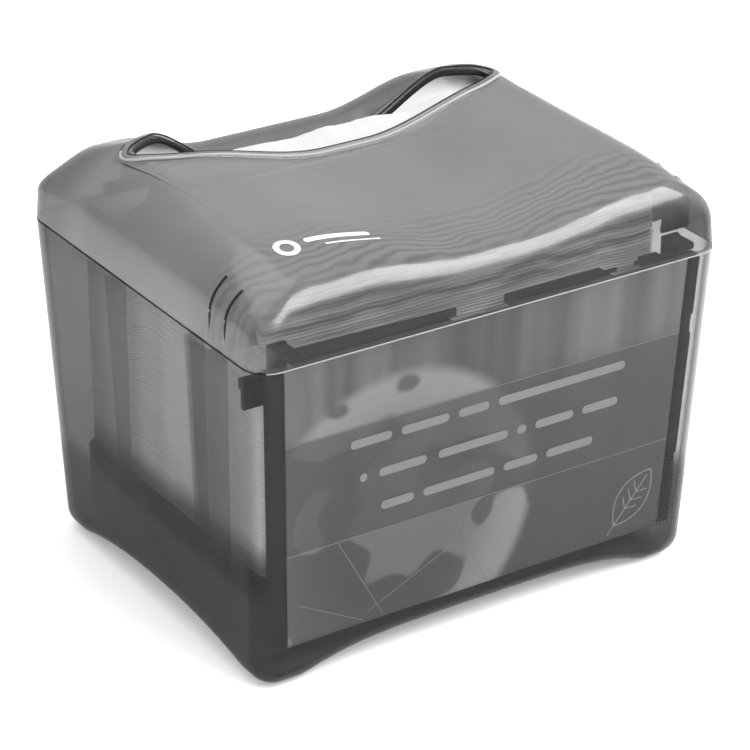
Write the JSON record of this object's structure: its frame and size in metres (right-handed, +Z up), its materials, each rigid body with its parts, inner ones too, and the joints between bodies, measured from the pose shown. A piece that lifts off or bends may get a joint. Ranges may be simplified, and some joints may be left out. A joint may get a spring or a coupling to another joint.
{
  "type": "napkin dispenser",
  "caption": "Tabletop napkin dispenser with a smoky translucent tapered case, hinged saddle lid with an oval dispensing slot, printed front insert and sprung lifting platform.",
  "frame": {"origin": "on the table, in the middle of the footprint including the rear hinges", "axes": "+X to the right seen from the front, -Y towards the front insert, +Z up"},
  "size_m": [0.194, 0.167, 0.1616],
  "materials": {
    "case_smoke": "glossy smoke-grey translucent plastic",
    "lid_smoke": "glossy smoke-grey translucent plastic, a little lighter",
    "guide_smoke": "smoke-grey translucent plastic",
    "hinge_plastic": "glossy dark grey",
    "latch_plastic": "dark grey, glossy",
    "frame_plastic": "dark grey, glossy",
    "inner_plastic": "dark grey, satin",
    "print_film": "printed translucent film",
    "napkin_paper": "soft embossed tissue",
    "foot_rubber": "matt black",
    "screw_steel": "bright zinc",
    "spring_steel": "plain spring wire"
  },
  "bodies": {
    "case": {"case_shell": "case_smoke", "floor_plate": "inner_plastic", "rubber_foot_front_left": "foot_rubber", "floor_screw_front_left": "screw_steel", "rubber_foot_front_right": "foot_rubber", "floor_screw_front_right": "screw_steel", "rubber_foot_rear_left": "foot_rubber", "floor_screw_rear_left": "screw_steel", "rubber_foot_rear_right": "foot_rubber", "floor_screw_rear_right": "screw_steel", "insert_sheet": "print_film", "insert_frame": "frame_plastic", "napkin_stack": "napkin_paper", "top_napkin": "napkin_paper", "spring_left": "spring_steel", "guide_channel_left": "guide_smoke", "guide_rib_left": "guide_smoke", "hinge_bracket_left": "hinge_plastic", "hinge_pin_left": "screw_steel", "latch_catch_left": "latch_plastic", "spring_right": "spring_steel", "guide_channel_right": "guide_smoke", "guide_rib_right": "guide_smoke", "hinge_bracket_right": "hinge_plastic", "hinge_pin_right": "screw_steel", "latch_catch_right": "latch_plastic"},
    "platform": {"platform": "inner_plastic"},
    "lid": {"lid_shell": "lid_smoke", "hinge_arm_left": "hinge_plastic", "hinge_arm_right": "hinge_plastic", "latch_hook_left": "latch_plastic", "latch_hook_right": "latch_plastic"}
  },
  "joints": [
    {"name": "lid_hinge", "type": "hinge", "parent": "case", "child": "lid", "pos_m": [0, 0.08092, 0.127], "axis": [-1, 0, 0], "range_deg": [0, 105]},
    {"name": "platform_slide", "type": "slide", "parent": "case", "child": "platform", "axis": [0, 0, 1], "range_m": [0, 0.08], "deforming": ["spring_left", "spring_right", "napkin_stack"]}
  ]
}
